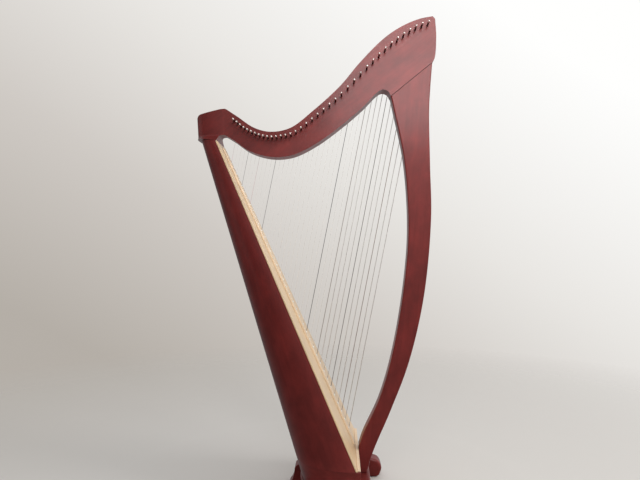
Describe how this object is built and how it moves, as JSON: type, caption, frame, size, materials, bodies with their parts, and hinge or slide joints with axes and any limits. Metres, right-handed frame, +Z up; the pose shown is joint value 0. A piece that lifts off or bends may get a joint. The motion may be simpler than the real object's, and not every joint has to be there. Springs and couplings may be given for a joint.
{
  "type": "harp without pedals",
  "caption": "Free-standing wooden harp without pedals: tapered round-backed soundbox, curved neck and column, strings and tuning pins that turn.",
  "frame": {"origin": "floor level under the middle of the harp's box", "axes": "+Z up, +X from the soundbox to the column, +Y towards the strings' side of the neck, -Y towards the tuning key's side"},
  "size_m": [0.775, 0.3918, 1.5494],
  "materials": {
    "mahogany_shell": "satin lacquer over red-brown stain",
    "mahogany_base": "satin lacquer over red-brown stain",
    "mahogany_feet": "satin lacquer over red-brown stain",
    "mahogany_neck": "satin lacquer over red-brown stain",
    "mahogany_column": "satin lacquer over red-brown stain",
    "spruce_board": "clear satin lacquer, straight grain",
    "spruce_rib": "clear satin lacquer",
    "bare_beech": "bare wood",
    "bare_ash": "bare wood",
    "bolt_steel": "zinc plated",
    "pin_steel": "polished steel",
    "nylon_string": "clear nylon, some dyed red or black",
    "gut_string": "varnished gut or nylon, some dyed red or black",
    "wound_string": "wire wound over a core"
  },
  "bodies": {
    "frame": {"soundbox_shell": "mahogany_shell", "soundboard": "spruce_board", "string_rib": "spruce_rib", "inner_rib": "bare_beech", "shell_former_upper": "bare_ash", "shell_former_middle": "bare_ash", "shell_former_lower": "bare_ash", "base_block": "mahogany_base", "base_plate": "mahogany_base", "front_foot_left": "mahogany_feet", "front_foot_right": "mahogany_feet", "rear_foot_left": "mahogany_feet", "rear_foot_right": "mahogany_feet", "shoulder_block": "mahogany_neck", "neck": "mahogany_neck", "column": "mahogany_column", "column_dowel": "bare_beech", "shoulder_dowel": "bare_beech", "column_bolt": "bolt_steel", "strings_treble": "nylon_string", "strings_middle": "gut_string", "strings_bass": "wound_string"},
    "tuning_pin_01_body": {"tuning_pin_01": "pin_steel"},
    "tuning_pin_02_body": {"tuning_pin_02": "pin_steel"},
    "tuning_pin_03_body": {"tuning_pin_03": "pin_steel"},
    "tuning_pin_04_body": {"tuning_pin_04": "pin_steel"},
    "tuning_pin_05_body": {"tuning_pin_05": "pin_steel"},
    "tuning_pin_06_body": {"tuning_pin_06": "pin_steel"},
    "tuning_pin_07_body": {"tuning_pin_07": "pin_steel"},
    "tuning_pin_08_body": {"tuning_pin_08": "pin_steel"},
    "tuning_pin_09_body": {"tuning_pin_09": "pin_steel"},
    "tuning_pin_10_body": {"tuning_pin_10": "pin_steel"},
    "tuning_pin_11_body": {"tuning_pin_11": "pin_steel"},
    "tuning_pin_12_body": {"tuning_pin_12": "pin_steel"},
    "tuning_pin_13_body": {"tuning_pin_13": "pin_steel"},
    "tuning_pin_14_body": {"tuning_pin_14": "pin_steel"},
    "tuning_pin_15_body": {"tuning_pin_15": "pin_steel"},
    "tuning_pin_16_body": {"tuning_pin_16": "pin_steel"},
    "tuning_pin_17_body": {"tuning_pin_17": "pin_steel"},
    "tuning_pin_18_body": {"tuning_pin_18": "pin_steel"},
    "tuning_pin_19_body": {"tuning_pin_19": "pin_steel"},
    "tuning_pin_20_body": {"tuning_pin_20": "pin_steel"},
    "tuning_pin_21_body": {"tuning_pin_21": "pin_steel"},
    "tuning_pin_22_body": {"tuning_pin_22": "pin_steel"},
    "tuning_pin_23_body": {"tuning_pin_23": "pin_steel"},
    "tuning_pin_24_body": {"tuning_pin_24": "pin_steel"},
    "tuning_pin_25_body": {"tuning_pin_25": "pin_steel"},
    "tuning_pin_26_body": {"tuning_pin_26": "pin_steel"},
    "tuning_pin_27_body": {"tuning_pin_27": "pin_steel"},
    "tuning_pin_28_body": {"tuning_pin_28": "pin_steel"},
    "tuning_pin_29_body": {"tuning_pin_29": "pin_steel"},
    "tuning_pin_30_body": {"tuning_pin_30": "pin_steel"},
    "tuning_pin_31_body": {"tuning_pin_31": "pin_steel"},
    "tuning_pin_32_body": {"tuning_pin_32": "pin_steel"},
    "tuning_pin_33_body": {"tuning_pin_33": "pin_steel"},
    "tuning_pin_34_body": {"tuning_pin_34": "pin_steel"},
    "tuning_pin_35_body": {"tuning_pin_35": "pin_steel"},
    "tuning_pin_36_body": {"tuning_pin_36": "pin_steel"},
    "tuning_pin_37_body": {"tuning_pin_37": "pin_steel"},
    "tuning_pin_38_body": {"tuning_pin_38": "pin_steel"}
  },
  "joints": [
    {"name": "tuning_pin_01_turn", "type": "hinge", "parent": "frame", "child": "tuning_pin_01_body", "pos_m": [-0.2615, 0, 1.212], "axis": [0, 1, 0], "range_deg": [-765, 45]},
    {"name": "tuning_pin_02_turn", "type": "hinge", "parent": "frame", "child": "tuning_pin_02_body", "pos_m": [-0.25039, 0, 1.20335], "axis": [0, 1, 0], "range_deg": [-765, 45]},
    {"name": "tuning_pin_03_turn", "type": "hinge", "parent": "frame", "child": "tuning_pin_03_body", "pos_m": [-0.23938, 0, 1.19443], "axis": [0, 1, 0], "range_deg": [-765, 45]},
    {"name": "tuning_pin_04_turn", "type": "hinge", "parent": "frame", "child": "tuning_pin_04_body", "pos_m": [-0.22817, 0, 1.18605], "axis": [0, 1, 0], "range_deg": [-765, 45]},
    {"name": "tuning_pin_05_turn", "type": "hinge", "parent": "frame", "child": "tuning_pin_05_body", "pos_m": [-0.2165, 0, 1.179], "axis": [0, 1, 0], "range_deg": [-765, 45]},
    {"name": "tuning_pin_06_turn", "type": "hinge", "parent": "frame", "child": "tuning_pin_06_body", "pos_m": [-0.20442, 0, 1.1731], "axis": [0, 1, 0], "range_deg": [-765, 45]},
    {"name": "tuning_pin_07_turn", "type": "hinge", "parent": "frame", "child": "tuning_pin_07_body", "pos_m": [-0.19214, 0, 1.16776], "axis": [0, 1, 0], "range_deg": [-765, 45]},
    {"name": "tuning_pin_08_turn", "type": "hinge", "parent": "frame", "child": "tuning_pin_08_body", "pos_m": [-0.1796, 0, 1.16317], "axis": [0, 1, 0], "range_deg": [-765, 45]},
    {"name": "tuning_pin_09_turn", "type": "hinge", "parent": "frame", "child": "tuning_pin_09_body", "pos_m": [-0.16674, 0, 1.15952], "axis": [0, 1, 0], "range_deg": [-765, 45]},
    {"name": "tuning_pin_10_turn", "type": "hinge", "parent": "frame", "child": "tuning_pin_10_body", "pos_m": [-0.1535, 0, 1.157], "axis": [0, 1, 0], "range_deg": [-765, 45]},
    {"name": "tuning_pin_11_turn", "type": "hinge", "parent": "frame", "child": "tuning_pin_11_body", "pos_m": [-0.13969, 0, 1.15622], "axis": [0, 1, 0], "range_deg": [-765, 45]},
    {"name": "tuning_pin_12_turn", "type": "hinge", "parent": "frame", "child": "tuning_pin_12_body", "pos_m": [-0.12528, 0, 1.15722], "axis": [0, 1, 0], "range_deg": [-765, 45]},
    {"name": "tuning_pin_13_turn", "type": "hinge", "parent": "frame", "child": "tuning_pin_13_body", "pos_m": [-0.11048, 0, 1.15936], "axis": [0, 1, 0], "range_deg": [-765, 45]},
    {"name": "tuning_pin_14_turn", "type": "hinge", "parent": "frame", "child": "tuning_pin_14_body", "pos_m": [-0.0955, 0, 1.162], "axis": [0, 1, 0], "range_deg": [-765, 45]},
    {"name": "tuning_pin_15_turn", "type": "hinge", "parent": "frame", "child": "tuning_pin_15_body", "pos_m": [-0.08, 0, 1.16542], "axis": [0, 1, 0], "range_deg": [-765, 45]},
    {"name": "tuning_pin_16_turn", "type": "hinge", "parent": "frame", "child": "tuning_pin_16_body", "pos_m": [-0.0635, 0, 1.173], "axis": [0, 1, 0], "range_deg": [-765, 45]},
    {"name": "tuning_pin_17_turn", "type": "hinge", "parent": "frame", "child": "tuning_pin_17_body", "pos_m": [-0.04642, 0, 1.18494], "axis": [0, 1, 0], "range_deg": [-765, 45]},
    {"name": "tuning_pin_18_turn", "type": "hinge", "parent": "frame", "child": "tuning_pin_18_body", "pos_m": [-0.02913, 0, 1.19844], "axis": [0, 1, 0], "range_deg": [-765, 45]},
    {"name": "tuning_pin_19_turn", "type": "hinge", "parent": "frame", "child": "tuning_pin_19_body", "pos_m": [-0.01152, 0, 1.21296], "axis": [0, 1, 0], "range_deg": [-765, 45]},
    {"name": "tuning_pin_20_turn", "type": "hinge", "parent": "frame", "child": "tuning_pin_20_body", "pos_m": [0.0065, 0, 1.228], "axis": [0, 1, 0], "range_deg": [-765, 45]},
    {"name": "tuning_pin_21_turn", "type": "hinge", "parent": "frame", "child": "tuning_pin_21_body", "pos_m": [0.02496, 0, 1.24328], "axis": [0, 1, 0], "range_deg": [-765, 45]},
    {"name": "tuning_pin_22_turn", "type": "hinge", "parent": "frame", "child": "tuning_pin_22_body", "pos_m": [0.04381, 0, 1.25913], "axis": [0, 1, 0], "range_deg": [-765, 45]},
    {"name": "tuning_pin_23_turn", "type": "hinge", "parent": "frame", "child": "tuning_pin_23_body", "pos_m": [0.06301, 0, 1.27591], "axis": [0, 1, 0], "range_deg": [-765, 45]},
    {"name": "tuning_pin_24_turn", "type": "hinge", "parent": "frame", "child": "tuning_pin_24_body", "pos_m": [0.0825, 0, 1.294], "axis": [0, 1, 0], "range_deg": [-765, 45]},
    {"name": "tuning_pin_25_turn", "type": "hinge", "parent": "frame", "child": "tuning_pin_25_body", "pos_m": [0.10247, 0, 1.31415], "axis": [0, 1, 0], "range_deg": [-765, 45]},
    {"name": "tuning_pin_26_turn", "type": "hinge", "parent": "frame", "child": "tuning_pin_26_body", "pos_m": [0.12287, 0, 1.33594], "axis": [0, 1, 0], "range_deg": [-765, 45]},
    {"name": "tuning_pin_27_turn", "type": "hinge", "parent": "frame", "child": "tuning_pin_27_body", "pos_m": [0.14334, 0, 1.35801], "axis": [0, 1, 0], "range_deg": [-765, 45]},
    {"name": "tuning_pin_28_turn", "type": "hinge", "parent": "frame", "child": "tuning_pin_28_body", "pos_m": [0.1635, 0, 1.379], "axis": [0, 1, 0], "range_deg": [-765, 45]},
    {"name": "tuning_pin_29_turn", "type": "hinge", "parent": "frame", "child": "tuning_pin_29_body", "pos_m": [0.18321, 0, 1.39897], "axis": [0, 1, 0], "range_deg": [-765, 45]},
    {"name": "tuning_pin_30_turn", "type": "hinge", "parent": "frame", "child": "tuning_pin_30_body", "pos_m": [0.20269, 0, 1.4185], "axis": [0, 1, 0], "range_deg": [-765, 45]},
    {"name": "tuning_pin_31_turn", "type": "hinge", "parent": "frame", "child": "tuning_pin_31_body", "pos_m": [0.22207, 0, 1.43703], "axis": [0, 1, 0], "range_deg": [-765, 45]},
    {"name": "tuning_pin_32_turn", "type": "hinge", "parent": "frame", "child": "tuning_pin_32_body", "pos_m": [0.2415, 0, 1.454], "axis": [0, 1, 0], "range_deg": [-765, 45]},
    {"name": "tuning_pin_33_turn", "type": "hinge", "parent": "frame", "child": "tuning_pin_33_body", "pos_m": [0.26097, 0, 1.46919], "axis": [0, 1, 0], "range_deg": [-765, 45]},
    {"name": "tuning_pin_34_turn", "type": "hinge", "parent": "frame", "child": "tuning_pin_34_body", "pos_m": [0.28042, 0, 1.48292], "axis": [0, 1, 0], "range_deg": [-765, 45]},
    {"name": "tuning_pin_35_turn", "type": "hinge", "parent": "frame", "child": "tuning_pin_35_body", "pos_m": [0.29991, 0, 1.49544], "axis": [0, 1, 0], "range_deg": [-765, 45]},
    {"name": "tuning_pin_36_turn", "type": "hinge", "parent": "frame", "child": "tuning_pin_36_body", "pos_m": [0.3195, 0, 1.507], "axis": [0, 1, 0], "range_deg": [-765, 45]},
    {"name": "tuning_pin_37_turn", "type": "hinge", "parent": "frame", "child": "tuning_pin_37_body", "pos_m": [0.33942, 0, 1.51504], "axis": [0, 1, 0], "range_deg": [-765, 45]},
    {"name": "tuning_pin_38_turn", "type": "hinge", "parent": "frame", "child": "tuning_pin_38_body", "pos_m": [0.3595, 0, 1.521], "axis": [0, 1, 0], "range_deg": [-765, 45]}
  ]
}
